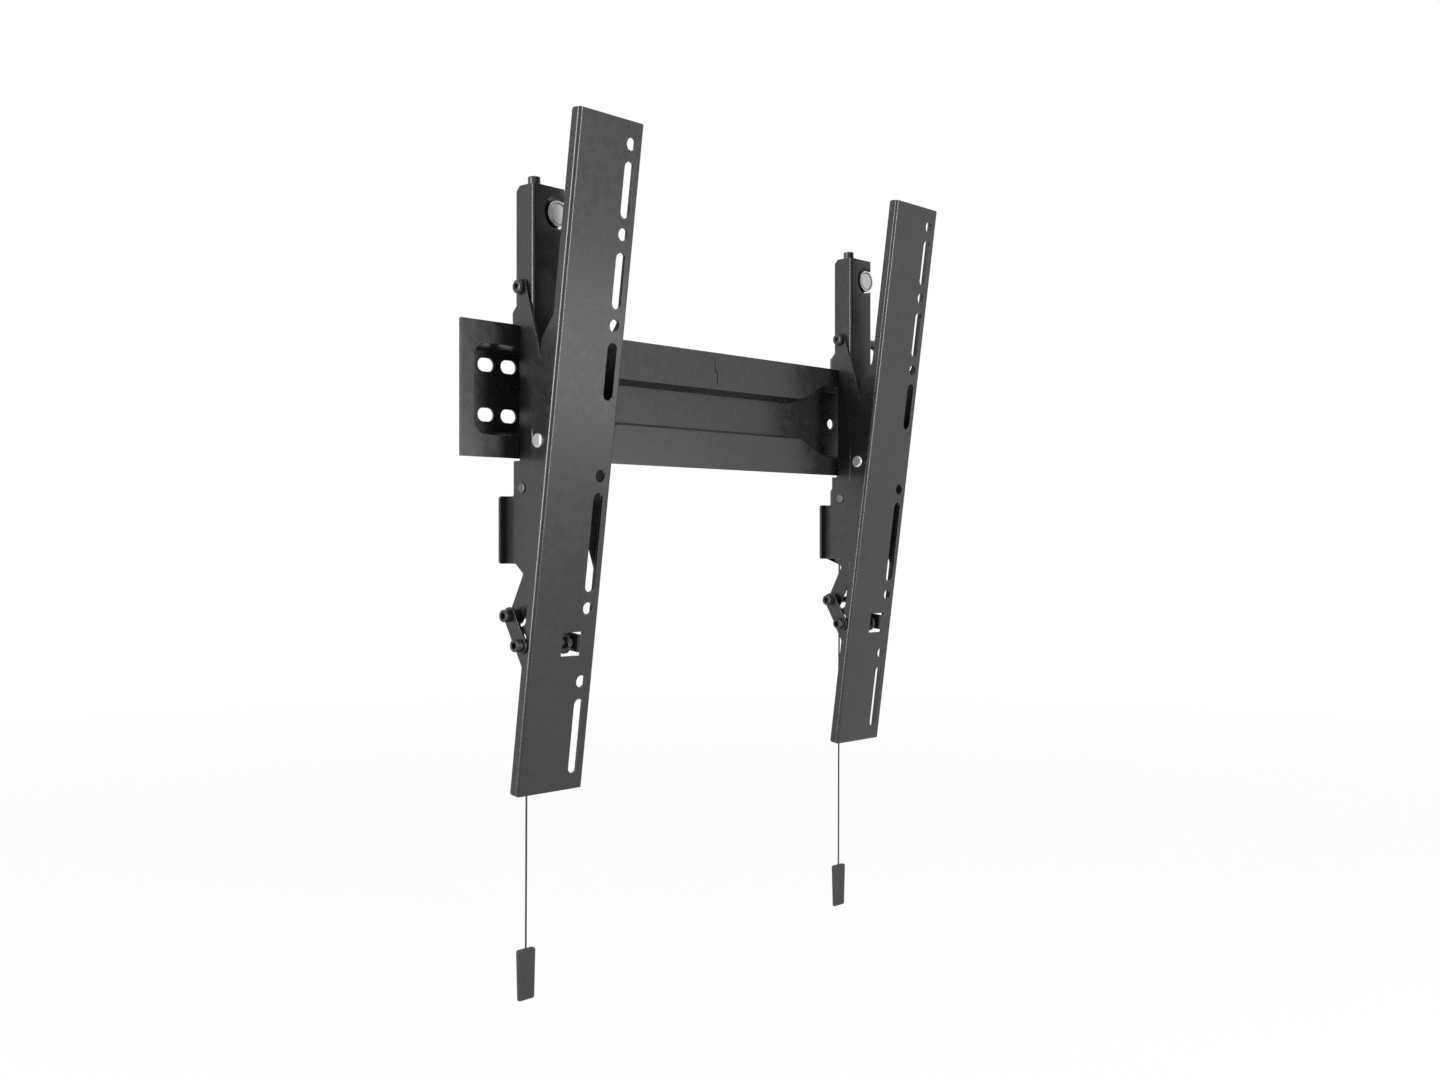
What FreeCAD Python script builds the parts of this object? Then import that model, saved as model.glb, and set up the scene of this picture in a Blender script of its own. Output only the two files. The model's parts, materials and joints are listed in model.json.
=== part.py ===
"""Tilting wall mount for a flat television.

A pressed wall plate carries two brackets that hang on its top edge. Each bracket
is a channel-shaped carriage, a pair of struts, a pair of guide links and a screen
arm that tilts, with a spring latch that a pull cord releases.

Row frame, in millimetres: X along the plate to the right, Y into the wall, Z up.
The origin is on the wall, at the middle of the wall plate.
"""
import FreeCAD
import Part
import math
import os

from FreeCAD import Vector

# Wall plate, pressed from one sheet
PLATE_LENGTH = 463.5
PLATE_HEIGHT = 85.0
PLATE_DEPTH = 14.5
PLATE_SHEET = 1.6
PLATE_CORNER_R = 0.7
BAND_HALF_HEIGHT = 15.6
POCKET_HALF_HEIGHT = 28.4
POCKET_END_MARGIN = 10.7
POCKET_CORNER_R = 9.0
FLARE_INNER_X = 100.0
FLARE_OUTER_X = 128.0
FLARE_R = 12.0
RECESS_SLOPE = 2.7

# Holes of the wall plate
LAG_SLOT_CENTRE_X = 192.5
LAG_SLOT_CENTRE_Z = 1.0
LAG_SLOT_PITCH_X = 18.5
LAG_SLOT_PITCH_Z = 31.6
LAG_SLOT_WIDTH = 8.6
LAG_SLOT_LENGTH = 12.9
END_HOLE_X = 153.0
END_HOLE_D = 8.0
CENTRE_MARK_LOW_Z = 20.0
CENTRE_MARK_HIGH_Z = 37.0
CENTRE_MARK_JOG = 2.2
CENTRE_MARK_WIDTH = 0.8
CENTRE_MARK_DEPTH = 1.0

# Screen arm, a folded channel
ARM_LENGTH = 430.0
ARM_WIDTH = 55.4
ARM_SHEET = 1.8
ARM_BEND_R = 2.4
ARM_FLANGE_DEPTH = 7.3
ARM_EAR_DEPTH = 16.5
ARM_FACE_LEFT_R = 1.0
ARM_FACE_RIGHT_R = 2.6
ARM_FLANGE_CORNER_R = 2.2
ARM_INNER_BEND_R = 0.6
EAR_LOW_T = 145.0
EAR_RAMP = 17.0
EAR_HIGH_T = 304.0
EAR_HIGH_RAMP = 15.0
EAR_LOW_R = 5.0
EAR_CORNER_R = 6.0
EAR_HIGH_R = 8.0
ARM_FOOT_Y = -17.5
ARM_FOOT_Z = -257.2
TILT_REST_DEG = 7.87

# Holes along the screen arm, measured from its foot
HOLE_LINE_X = 45.4
SCREEN_HOLE_D = 8.0
SCREEN_HOLE_T = (415.8, 359.5, 302.0, 205.9, 119.8, 71.7)
SCREEN_SLOT_T = ((369.5, 405.0), (312.5, 348.0), (254.5, 291.0), (130.5, 195.0), (10.5, 60.0))
WINDOW_X = (26.0, 43.0)
WINDOW_T = (88.9, 104.6)
WINDOW_TAB_DEPTH = 15.5
WINDOW_TAB_T = (91.0, 102.8)
TAB_CORNER_R = 4.0
TAB_FOLD_R = 2.4
TAB_FOLD_REACH = 3.0

# Pivots in the plane across the plate
STRUT_TOP_Y = -18.3
STRUT_TOP_Z = 66.0
STRUT_FOOT_N = 10.8
STRUT_FOOT_T = 225.7
GUIDE_TOP_Y = -12.0
GUIDE_TOP_Z = -142.2
SLIDE_N = 8.2
SLIDE_T = 96.4
LOWER_EAR_R = 7.2
LOWER_EAR_ROOT_R = 3.0
LOWER_EAR_LOW_R = 5.0
LOWER_EAR_HIGH_R = 4.5
# Corners of the lower ear along the arm, from the slide bolt, in ear radii
LOWER_EAR_ROOTS = (-1.9, 1.9)
LOWER_EAR_TIPS = (-0.45, 1.2)
SLIDE_TRAVEL_DOWN = 2.2
SLIDE_TRAVEL_UP = 4.7
SLIDE_PLAY = 0.35
# Room between the slide bolt's tip and the window's tab
SLIDE_BOLT_GAP = 0.7
PIVOT_BOLT_D = 5.0
PIVOT_PLAY = 0.1
RIVET_D = 5.0
RIVET_HEAD_D = 9.2
RIVET_HEAD_H = 1.6
RIVET_RIM_R = 1.3

# Struts and guide links, flat stampings
LINK_SHEET = 1.8
SIDE_GAP = 0.2
STRUT_TOP_R = 5.3
STRUT_WAIST_REACH = 3.5
STRUT_FOOT_R = 7.0
STRUT_BULGE = ((-17.4, -39.3), (-21.5, -62.3))
STRUT_BULGE_R = (14.0, 6.0)
GUIDE_R = 5.5
INNER_GUIDE_TAIL = 2.0
INNER_GUIDE_X = 33.0

# Carriage, a folded channel
CARRIAGE_LEFT_X = 4.0
CARRIAGE_WIDTH = 27.2
CARRIAGE_SHEET = 1.8
CARRIAGE_BEND_R = 2.0
CARRIAGE_FRONT_Y = -28.5
CARRIAGE_TOP_Z = 130.9
CARRIAGE_REAR_Y = -11.9
CARRIAGE_TOP_CHAMFER = 3.2
CARRIAGE_EDGE_R = 0.8
THROAT_R = 0.5
SHOULDER_TOP_Z = 50.8
SHOULDER_REAR_Y = -8.5
LEG_REAR_Y = -9.1
LEG_TOP_R = 0.6
LEG_ROOT_R = 1.0
FOOT_TAB_TOP_Z = -66.2
FOOT_TAB_LOW_Z = -109.4
FOOT_TAB_REACH = 5.5
FOOT_TAB_CORNER_R = 2.0
WALL_CLEARANCE = 0.7
NOTCH_Y = -18.5
NOTCH_Z = -115.7
NOTCH_R = 1.2
KNEE_Y = -10.9
WEB_LOW_Z = -124.0
WEB_CORNER_R = 4.0
PIVOT_LOBE_R = 6.2
LOBE_ROOT_R = 5.0
# Where the carriage's outline meets the pivot lobe, behind and in front, in lobe radii
LOBE_REAR = (0.80, 0.75)
LOBE_FRONT = (-0.6, -0.8)
PLATE_FRONT_GAP = 0.5
HEIGHT_TRAVEL = 1.0
EDGE_GAP = 0.3

# Height screw and hook block
SCREW_X = 12.0
SCREW_Y = -19.9
SCREW_D = 6.0
SCREW_HEAD_D = 8.0
SCREW_HEAD_H = 6.0
SCREW_LOW_Z = 47.0
SCREW_TIP_CHAMFER = 0.8
SCREW_HEAD_R = 0.6
SCREW_SOCKET_DEPTH = 2.8
SCREW_SEAT_GAP = 0.05
SCREW_PLAY = 0.08
HOOK_TOP_Z = 58.5
HOOK_FRONT_LIP_Z = 34.0
HOOK_REAR_LIP_Z = 31.5
HOOK_REAR_Y = -5.5
HOOK_SIDE_GAP = 0.3
HOOK_LIP_LEAD = 2.0
HOOK_TOP_CHAMFER = 7.0
HOOK_EDGE_R = 1.0
HOOK_GROOVE_R = 0.5
HOOK_BACK_R = 2.0

# Cord magnet at the top of the carriage
MAGNET_X = 25.8
MAGNET_Z = 114.8
MAGNET_CUP_D = 17.0
MAGNET_CUP_H = 4.5
MAGNET_CUP_FRONT_Y = -27.6
MAGNET_CUP_WALL = 1.5
MAGNET_CUP_EDGE_R = 0.5
MAGNET_DISC_SETBACK = 0.2
MAGNET_DISC_CHAMFER = 0.3
MAGNET_RING_GAP = 0.5
MAGNET_CUT_OFFSET = 1.8
MAGNET_CUT_D = 21.6
MAGNET_CUT_MARGIN = 2.0
MAGNET_BRACKET_X = (16.0, 27.9)
MAGNET_BRACKET_SHEET = 1.6
MAGNET_INNER_BEND_R = 0.3
MAGNET_OUTER_BEND_R = 1.2
MAGNET_BRACKET_LOW_Z = 88.0
MAGNET_BRACKET_JOG_Z = 99.0
MAGNET_BRACKET_HIGH_Z = 123.5

# Latch, its guide pin and its spring
LATCH_X = (10.5, 26.5)
LATCH_TRAVEL = 8.0
LATCH_NOSE_Z = -37.5
LATCH_NOSE_DEPTH = 4.0
LATCH_NOSE_CHAMFER = (1.5, 2.5)
LATCH_NOSE_R = 0.4
LATCH_NOSE_BACK_R = 0.6
LATCH_BACK_DROP = 6.0
LATCH_BACK_R = 2.0
LATCH_EDGE_R = 1.0
LATCH_ROOT_R = 0.8
LATCH_FRONT_R = 1.5
LATCH_SHOULDER_Z = -48.5
LATCH_LOW_Z = -92.0
LATCH_FRONT_Y = -22.5
LATCH_REAR_Y = -2.2
LATCH_PIN_Y = -17.5
LATCH_PIN_Z = -61.2
LATCH_PIN_D = 3.0
LATCH_PIN_PROUD = 1.0
LATCH_PIN_CHAMFER = 0.4
LATCH_PIN_HEAD_D = 6.6
LATCH_PIN_HEAD_R = 0.5
LATCH_SLOT_PLAY = 0.2
LATCH_SLOT_END = 0.5
SPRING_D = 6.6
SPRING_WIRE_D = 0.8
SPRING_TURNS = 6
SPRING_SEAT_Z = -107.4
# Height of the first turn and of both end turns over their seats, in wire diameters
SPRING_END_LIFT = 0.55
SPRING_END_LOSS = 1.1
SEAT_HOLE_D = 3.6

# Release cord and its pull handle
CORD_X = 18.5
CORD_Y = -5.5
CORD_D = 1.3
CORD_SWAY = 0.5
CORD_ARC_SHARE = 0.45
HANDLE_X = 17.2
HANDLE_TOP_Z = -358.2
HANDLE_LENGTH = 33.0
HANDLE_TOP_WIDTH = 14.1
HANDLE_LOW_WIDTH = 13.3
HANDLE_TOP_THICKNESS = 3.4
HANDLE_LOW_THICKNESS = 2.0
HANDLE_CORNER_R = 1.6
HANDLE_EDGE_R = 0.6
# The grip's two broad faces turn at least this much toward the wall or the room
GRIP_FACE_TURN = 0.9

# Fasteners
CAP_HEAD_D = 8.0
CAP_HEAD_R = 0.7
CAP_HEAD_H = 5.0
BUTTON_HEAD_D = 9.5
BUTTON_HEAD_H = 3.8
HEX_SOCKET_AF = 4.0
BUTTON_SOCKET_AF = 3.2
# Rounding of a button head and depth of a socket, as shares of the head's height
BUTTON_ROUNDING = 0.6
SOCKET_DEPTH_SHARE = 0.6
BOLT_TIP_CHAMFER = 0.6
THREAD_PLAY = 0.02
NUT_AF = 8.0
NUT_H = 4.0
NUT_BEVEL_LAND = 0.1
NUT_BEVEL_SHARE = 1.2
THIN_NUT_H = 2.4
THIN_NUT_TAIL = 0.3
BOLT_TAIL = 1.5
SPACER_WALL = 1.2
SPACER_FACE_GAP = 0.1

# Where the two brackets sit along the plate, at their left outer face
BRACKET_X = {"left": -189.5, "right": 141.1}

CUT_PAST = 0.5
CUT_THROUGH = 1.0
NEAR = 0.1
TINY = 1e-6
# Flat left at each end of a slot, so that its arcs don't meet in one point
SLOT_END_LAND = 0.001
AXIS_X = Vector(1, 0, 0)
AXIS_Y = Vector(0, 1, 0)
AXIS_Z = Vector(0, 0, 1)
ARM_RIGHT_INNER_X = ARM_WIDTH - ARM_SHEET
CARRIAGE_RIGHT_X = CARRIAGE_LEFT_X + CARRIAGE_WIDTH
CARRIAGE_INNER_LEFT_X = CARRIAGE_LEFT_X + CARRIAGE_SHEET
CARRIAGE_INNER_RIGHT_X = CARRIAGE_RIGHT_X - CARRIAGE_SHEET
CARRIAGE_WEB_BACK_Y = CARRIAGE_FRONT_Y + CARRIAGE_SHEET
PLATE_BACK_OF_FLANGE_Y = PLATE_SHEET - PLATE_DEPTH
HALF_HEIGHT = PLATE_HEIGHT / 2
TAB_LEFT_X = WINDOW_X[1] - TAB_FOLD_REACH
TAB_RIGHT_X = TAB_LEFT_X + ARM_SHEET
TILT = math.radians(TILT_REST_DEG)


def box(x0, x1, y0, y1, z0, z1):
    """A block between two corners."""
    return Part.makeBox(x1 - x0, y1 - y0, z1 - z0, Vector(x0, y0, z0))


def rod_x(x0, x1, y, z, diameter):
    return Part.makeCylinder(diameter / 2, x1 - x0, Vector(x0, y, z), AXIS_X)


def rod_y(x, y0, y1, z, diameter):
    return Part.makeCylinder(diameter / 2, y1 - y0, Vector(x, y0, z), AXIS_Y)


def rod_z(x, y, z0, z1, diameter):
    return Part.makeCylinder(diameter / 2, z1 - z0, Vector(x, y, z0), AXIS_Z)


def rounded_outline(points, radii):
    """A closed wire through the points, with each corner rounded to its radius."""
    count = len(points)
    edges = []
    starts = []
    ends = []
    arcs = []
    for i in range(count):
        corner = points[i]
        to_last = (points[i - 1] - corner).normalize()
        to_next = (points[(i + 1) % count] - corner).normalize()
        radius = radii[i]
        if radius <= 0:
            starts.append(corner)
            ends.append(corner)
            arcs.append(None)
            continue
        half_angle = to_last.getAngle(to_next) / 2
        reach = radius / math.tan(half_angle)
        bisector = (to_last + to_next).normalize()
        centre = corner + bisector * (radius / math.sin(half_angle))
        middle = centre - bisector * radius
        starts.append(corner + to_last * reach)
        ends.append(corner + to_next * reach)
        arcs.append(middle)
    for i in range(count):
        if arcs[i] is not None:
            edges.append(Part.Arc(starts[i], arcs[i], ends[i]).toShape())
        following = starts[(i + 1) % count]
        if (following - ends[i]).Length > TINY:
            edges.append(Part.LineSegment(ends[i], following).toShape())
    return Part.Wire(edges)


def prism_x(outline, radii, x0, x1):
    """A prism along X from (y, z) points."""
    wire = rounded_outline([Vector(x0, y, z) for y, z in outline], radii)
    return Part.Face(wire).extrude(Vector(x1 - x0, 0, 0))


def prism_y(outline, radii, y0, y1):
    """A prism along Y from (x, z) points."""
    wire = rounded_outline([Vector(x, y0, z) for x, z in outline], radii)
    return Part.Face(wire).extrude(Vector(0, y1 - y0, 0))


def obround_y(x0, x1, z0, z1, y0, y1):
    """A slot with round ends, through Y."""
    corners = [(x0, z0), (x1, z0), (x1, z1), (x0, z1)]
    radius = min(x1 - x0, z1 - z0) / 2 - SLOT_END_LAND
    return prism_y(corners, [radius] * 4, y0, y1)


def strip_x(start, end, half_width, x0, x1):
    """A straight strip with round ends between two (y, z) points."""
    along = Vector(0, end[0] - start[0], end[1] - start[1]).normalize()
    across = along.cross(AXIS_X)
    first = Vector(x0, start[0], start[1])
    second = Vector(x0, end[0], end[1])
    side = across * half_width
    tip = along * half_width
    edges = [
        Part.LineSegment(first + side, second + side).toShape(),
        Part.Arc(second + side, second + tip, second - side).toShape(),
        Part.LineSegment(second - side, first - side).toShape(),
        Part.Arc(first - side, first - tip, first + side).toShape(),
    ]
    return Part.Face(Part.Wire(edges)).extrude(Vector(x1 - x0, 0, 0))


def edges_along(shape, direction, keep):
    """Straight edges in a direction whose middle passes the test."""
    chosen = []
    for edge in shape.Edges:
        if edge.Curve.TypeId != "Part::GeomLine":
            continue
        run = edge.Vertexes[-1].Point - edge.Vertexes[0].Point
        if run.Length < TINY or run.normalize().cross(direction).Length > TINY:
            continue
        if keep(edge.CenterOfMass):
            chosen.append(edge)
    return chosen


def hex_prism_x(x0, x1, y, z, across_flats):
    radius = across_flats / math.sqrt(3)
    corners = []
    for k in range(6):
        angle = math.radians(60 * k + 30)
        corners.append((y + radius * math.cos(angle), z + radius * math.sin(angle)))
    return prism_x(corners, [0] * 6, x0, x1)


def hex_prism_z(x, y, z0, z1, across_flats):
    radius = across_flats / math.sqrt(3)
    corners = []
    for k in range(6):
        angle = math.radians(60 * k)
        corners.append(Vector(x + radius * math.cos(angle), y + radius * math.sin(angle), z0))
    return Part.Face(rounded_outline(corners, [0] * 6)).extrude(Vector(0, 0, z1 - z0))


def recess_outline(y, inset):
    """The dumbbell outline of the pressed recess, at depth y."""
    half_band = BAND_HALF_HEIGHT - inset
    half_pocket = POCKET_HALF_HEIGHT - inset
    end_x = PLATE_LENGTH / 2 - POCKET_END_MARGIN - inset
    rise = POCKET_HALF_HEIGHT - BAND_HALF_HEIGHT
    slope = math.atan2(rise, FLARE_OUTER_X - FLARE_INNER_X)
    shift = inset * math.tan(slope / 2)
    inner_x = FLARE_INNER_X + shift
    outer_x = FLARE_OUTER_X + shift
    right = [
        (inner_x, half_band, FLARE_R),
        (outer_x, half_pocket, FLARE_R),
        (end_x, half_pocket, POCKET_CORNER_R - inset),
    ]
    quarter = right + [(x, -z, r) for x, z, r in reversed(right)]
    other = [(-x, -z, r) for x, z, r in quarter]
    outline = quarter + other
    points = [Vector(x, y, z) for x, z, r in outline]
    return rounded_outline(points, [r for x, z, r in outline])


def recess_pan(front_y, front_inset, floor_y, floor_inset):
    """The tapered block between two recess outlines."""
    wires = [recess_outline(front_y, front_inset), recess_outline(floor_y, floor_inset)]
    return Part.makeLoft(wires, True, True)


def centre_mark():
    """A thin stepped groove that marks the middle of the plate."""
    middle = (CENTRE_MARK_LOW_Z + CENTRE_MARK_HIGH_Z) / 2
    half = CENTRE_MARK_WIDTH / 2
    front = -PLATE_DEPTH - CUT_PAST
    back = CENTRE_MARK_DEPTH - PLATE_DEPTH
    upper = box(-half, half, front, back, middle, CENTRE_MARK_HIGH_Z)
    step = box(-half, CENTRE_MARK_JOG + half, front, back, middle - half, middle + half)
    lower = box(CENTRE_MARK_JOG - half, CENTRE_MARK_JOG + half, front, back, CENTRE_MARK_LOW_Z, middle)
    return upper.fuse([step, lower])


def wall_plate():
    half = PLATE_LENGTH / 2
    corners = [(-half, -HALF_HEIGHT), (half, -HALF_HEIGHT), (half, HALF_HEIGHT), (-half, HALF_HEIGHT)]
    sheet = prism_y(corners, [PLATE_CORNER_R] * 4, -PLATE_DEPTH, PLATE_BACK_OF_FLANGE_Y)
    slope_per_mm = RECESS_SLOPE / (PLATE_DEPTH - PLATE_SHEET)
    wall = PLATE_SHEET * math.sqrt(1 + slope_per_mm ** 2)
    inner = recess_pan(-PLATE_DEPTH, 0.0, -PLATE_SHEET, RECESS_SLOPE)
    back_inset = slope_per_mm * PLATE_SHEET - wall
    floor_inset = slope_per_mm * PLATE_DEPTH - wall
    outer = recess_pan(PLATE_BACK_OF_FLANGE_Y, back_inset, 0.0, floor_inset)
    plate = sheet.fuse(outer).cut(inner).removeSplitter()
    cuts = [centre_mark()]
    before = -PLATE_SHEET - CUT_PAST
    half_l = LAG_SLOT_LENGTH / 2
    half_w = LAG_SLOT_WIDTH / 2
    for side in (-1, 1):
        cuts.append(rod_y(side * END_HOLE_X, before, CUT_PAST, 0, END_HOLE_D))
        for column in (-0.5, 0.5):
            for row in (-0.5, 0.5):
                x = side * LAG_SLOT_CENTRE_X + column * LAG_SLOT_PITCH_X
                z = LAG_SLOT_CENTRE_Z + row * LAG_SLOT_PITCH_Z
                cuts.append(obround_y(x - half_l, x + half_l, z - half_w, z + half_w, before, CUT_PAST))
    return plate.cut(cuts)


def flange_profile(with_lower_ear):
    """Side profile of the arm's flanges, in depth and height."""
    low = EAR_LOW_T
    high = EAR_HIGH_T
    depth = ARM_FLANGE_DEPTH
    ear = ARM_EAR_DEPTH
    outline = [(0, 0, 0), (depth, 0, ARM_FLANGE_CORNER_R)]
    if with_lower_ear:
        reach = SLIDE_N + LOWER_EAR_R
        outline += [
            (depth, SLIDE_T + LOWER_EAR_ROOTS[0] * LOWER_EAR_R, LOWER_EAR_ROOT_R),
            (reach, SLIDE_T + LOWER_EAR_TIPS[0] * LOWER_EAR_R, LOWER_EAR_LOW_R),
            (reach, SLIDE_T + LOWER_EAR_TIPS[1] * LOWER_EAR_R, LOWER_EAR_HIGH_R),
            (depth, SLIDE_T + LOWER_EAR_ROOTS[1] * LOWER_EAR_R, LOWER_EAR_ROOT_R),
        ]
    outline += [
        (depth, low, EAR_LOW_R),
        (ear, low + EAR_RAMP, EAR_CORNER_R),
        (ear, high - EAR_HIGH_RAMP, EAR_CORNER_R),
        (depth, high, EAR_HIGH_R),
        (depth, ARM_LENGTH, ARM_FLANGE_CORNER_R),
        (0, ARM_LENGTH, 0),
    ]
    return [(n, t) for n, t, r in outline], [r for n, t, r in outline]


def arm_blank():
    """The folded channel, before its holes, in its own frame."""
    outer = box(0, ARM_WIDTH, 0, ARM_EAR_DEPTH + CUT_PAST, 0, ARM_LENGTH)
    outer = outer.makeFillet(ARM_BEND_R, edges_along(outer, AXIS_Z, lambda p: p.y < NEAR))
    past = ARM_EAR_DEPTH + 2 * CUT_PAST
    inner = box(ARM_SHEET, ARM_RIGHT_INNER_X, ARM_SHEET, past, -CUT_PAST, ARM_LENGTH + CUT_PAST)
    inner = inner.makeFillet(ARM_INNER_BEND_R, edges_along(inner, AXIS_Z, lambda p: p.y < ARM_SHEET + NEAR))
    channel = outer.cut(inner)
    middle = ARM_WIDTH / 2
    left = prism_x(*flange_profile(True), -CUT_PAST, middle)
    right = prism_x(*flange_profile(False), middle, ARM_WIDTH + CUT_PAST)
    corners = [(0, 0), (ARM_WIDTH, 0), (ARM_WIDTH, ARM_LENGTH), (0, ARM_LENGTH)]
    radii = [ARM_FACE_LEFT_R, ARM_FACE_RIGHT_R, ARM_FACE_RIGHT_R, ARM_FACE_LEFT_R]
    front = prism_y(corners, radii, -CUT_PAST, past)
    return channel.common(left.fuse(right).removeSplitter()).common(front).removeSplitter()


def window_tab():
    """The ear that is bent in from the window's right edge."""
    low, high = WINDOW_TAB_T
    outline = [(0, low), (WINDOW_TAB_DEPTH, low), (WINDOW_TAB_DEPTH, high), (0, high)]
    tab = prism_x(outline, [0, TAB_CORNER_R, TAB_CORNER_R, 0], TAB_LEFT_X, TAB_RIGHT_X)
    fold = box(TAB_LEFT_X, WINDOW_X[1], 0, ARM_SHEET, low, high)
    tab = tab.fuse(fold).removeSplitter()
    front_left = edges_along(tab, AXIS_Z, lambda p: p.x < TAB_LEFT_X + NEAR and p.y < NEAR)
    tab = tab.makeFillet(TAB_FOLD_R, front_left)
    inside = edges_along(tab, AXIS_Z, lambda p: abs(p.x - TAB_RIGHT_X) < NEAR and abs(p.y - ARM_SHEET) < NEAR)
    return tab.makeFillet(ARM_INNER_BEND_R, inside)


def tilted(shape):
    """Moves a shape from the arm's own frame to its place at the rest tilt."""
    placed = shape.copy()
    placed.rotate(Vector(0, 0, 0), AXIS_X, TILT_REST_DEG)
    placed.translate(Vector(0, ARM_FOOT_Y, ARM_FOOT_Z))
    return placed


def arm_point(n, t):
    """Where a point of the arm's side lies at rest, as (y, z)."""
    y = ARM_FOOT_Y + n * math.cos(TILT) - t * math.sin(TILT)
    z = ARM_FOOT_Z + n * math.sin(TILT) + t * math.cos(TILT)
    return y, z


def screen_arm():
    arm = arm_blank()
    radius = SCREEN_HOLE_D / 2
    through = ARM_SHEET + CUT_PAST
    cuts = [rod_y(HOLE_LINE_X, -CUT_PAST, through, t, SCREEN_HOLE_D) for t in SCREEN_HOLE_T]
    for low, high in SCREEN_SLOT_T:
        cuts.append(obround_y(HOLE_LINE_X - radius, HOLE_LINE_X + radius, low, high, -CUT_PAST, through))
    low, high = WINDOW_T
    cuts.append(box(WINDOW_X[0], WINDOW_X[1], -CUT_PAST, through, low, high))
    rivet_hole = RIVET_D + 2 * PIVOT_PLAY
    beyond = ARM_WIDTH + CUT_PAST
    cuts.append(rod_x(-CUT_PAST, through, STRUT_FOOT_N, STRUT_FOOT_T, rivet_hole))
    cuts.append(rod_x(ARM_RIGHT_INNER_X - CUT_PAST, beyond, STRUT_FOOT_N, STRUT_FOOT_T, rivet_hole))
    cuts.append(strip_x(
        (SLIDE_N, SLIDE_T - SLIDE_TRAVEL_DOWN),
        (SLIDE_N, SLIDE_T + SLIDE_TRAVEL_UP),
        PIVOT_BOLT_D / 2 + SLIDE_PLAY,
        -CUT_PAST,
        through,
    ))
    arm = arm.cut(cuts).fuse(window_tab()).removeSplitter()
    return tilted(arm)


STRUT_FOOT = arm_point(STRUT_FOOT_N, STRUT_FOOT_T)
SLIDE = arm_point(SLIDE_N, SLIDE_T)
GUIDE_TOP = (GUIDE_TOP_Y, GUIDE_TOP_Z)
STRUT_TOP = (STRUT_TOP_Y, STRUT_TOP_Z)

# Layers across each bracket
STRUT_X = {
    "outer": (ARM_SHEET + SIDE_GAP, ARM_SHEET + SIDE_GAP + LINK_SHEET),
    "inner": (ARM_RIGHT_INNER_X - SIDE_GAP - LINK_SHEET, ARM_RIGHT_INNER_X - SIDE_GAP),
}
GUIDE_X = {
    "outer": (-2 * SIDE_GAP - LINK_SHEET, -2 * SIDE_GAP),
    "inner": (INNER_GUIDE_X, INNER_GUIDE_X + LINK_SHEET),
}


def strut(side):
    """A wedge-shaped strut from the carriage down to the arm."""
    x0, x1 = STRUT_X[side]
    top = STRUT_TOP
    foot = STRUT_FOOT
    bulge = [(top[0] + dy, top[1] + dz) for dy, dz in STRUT_BULGE]
    outline = [
        (top[0] + STRUT_WAIST_REACH, top[1]),
        (foot[0] + STRUT_FOOT_R, foot[1]),
        (foot[0] - STRUT_FOOT_R, foot[1]),
        bulge[1],
        bulge[0],
        (top[0] - STRUT_TOP_R, top[1]),
    ]
    body = prism_x(outline, [0, 0, 0, STRUT_BULGE_R[1], STRUT_BULGE_R[0], 0], x0, x1)
    body = body.fuse([
        rod_x(x0, x1, top[0], top[1], 2 * STRUT_TOP_R),
        rod_x(x0, x1, foot[0], foot[1], 2 * STRUT_FOOT_R),
    ]).removeSplitter()
    before = x0 - CUT_THROUGH
    beyond = x1 + CUT_THROUGH
    bolt_hole = rod_x(before, beyond, top[0], top[1], PIVOT_BOLT_D + 2 * PIVOT_PLAY)
    rivet_hole = rod_x(before, beyond, foot[0], foot[1], RIVET_D + 2 * PIVOT_PLAY)
    return body.cut([bolt_hole, rivet_hole])


def guide_link(side):
    """A short link from the carriage down to the slide bolt."""
    x0, x1 = GUIDE_X[side]
    run = Vector(0, SLIDE[0] - GUIDE_TOP[0], SLIDE[1] - GUIDE_TOP[1]).normalize()
    tail = run * (INNER_GUIDE_TAIL if side == "inner" else 0.0)
    body = strip_x(GUIDE_TOP, (SLIDE[0] + tail.y, SLIDE[1] + tail.z), GUIDE_R, x0, x1)
    hole = PIVOT_BOLT_D + 2 * PIVOT_PLAY
    before = x0 - CUT_THROUGH
    beyond = x1 + CUT_THROUGH
    top_hole = rod_x(before, beyond, GUIDE_TOP[0], GUIDE_TOP[1], hole)
    low_hole = rod_x(before, beyond, SLIDE[0], SLIDE[1], hole)
    return body.cut([top_hole, low_hole])


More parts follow.
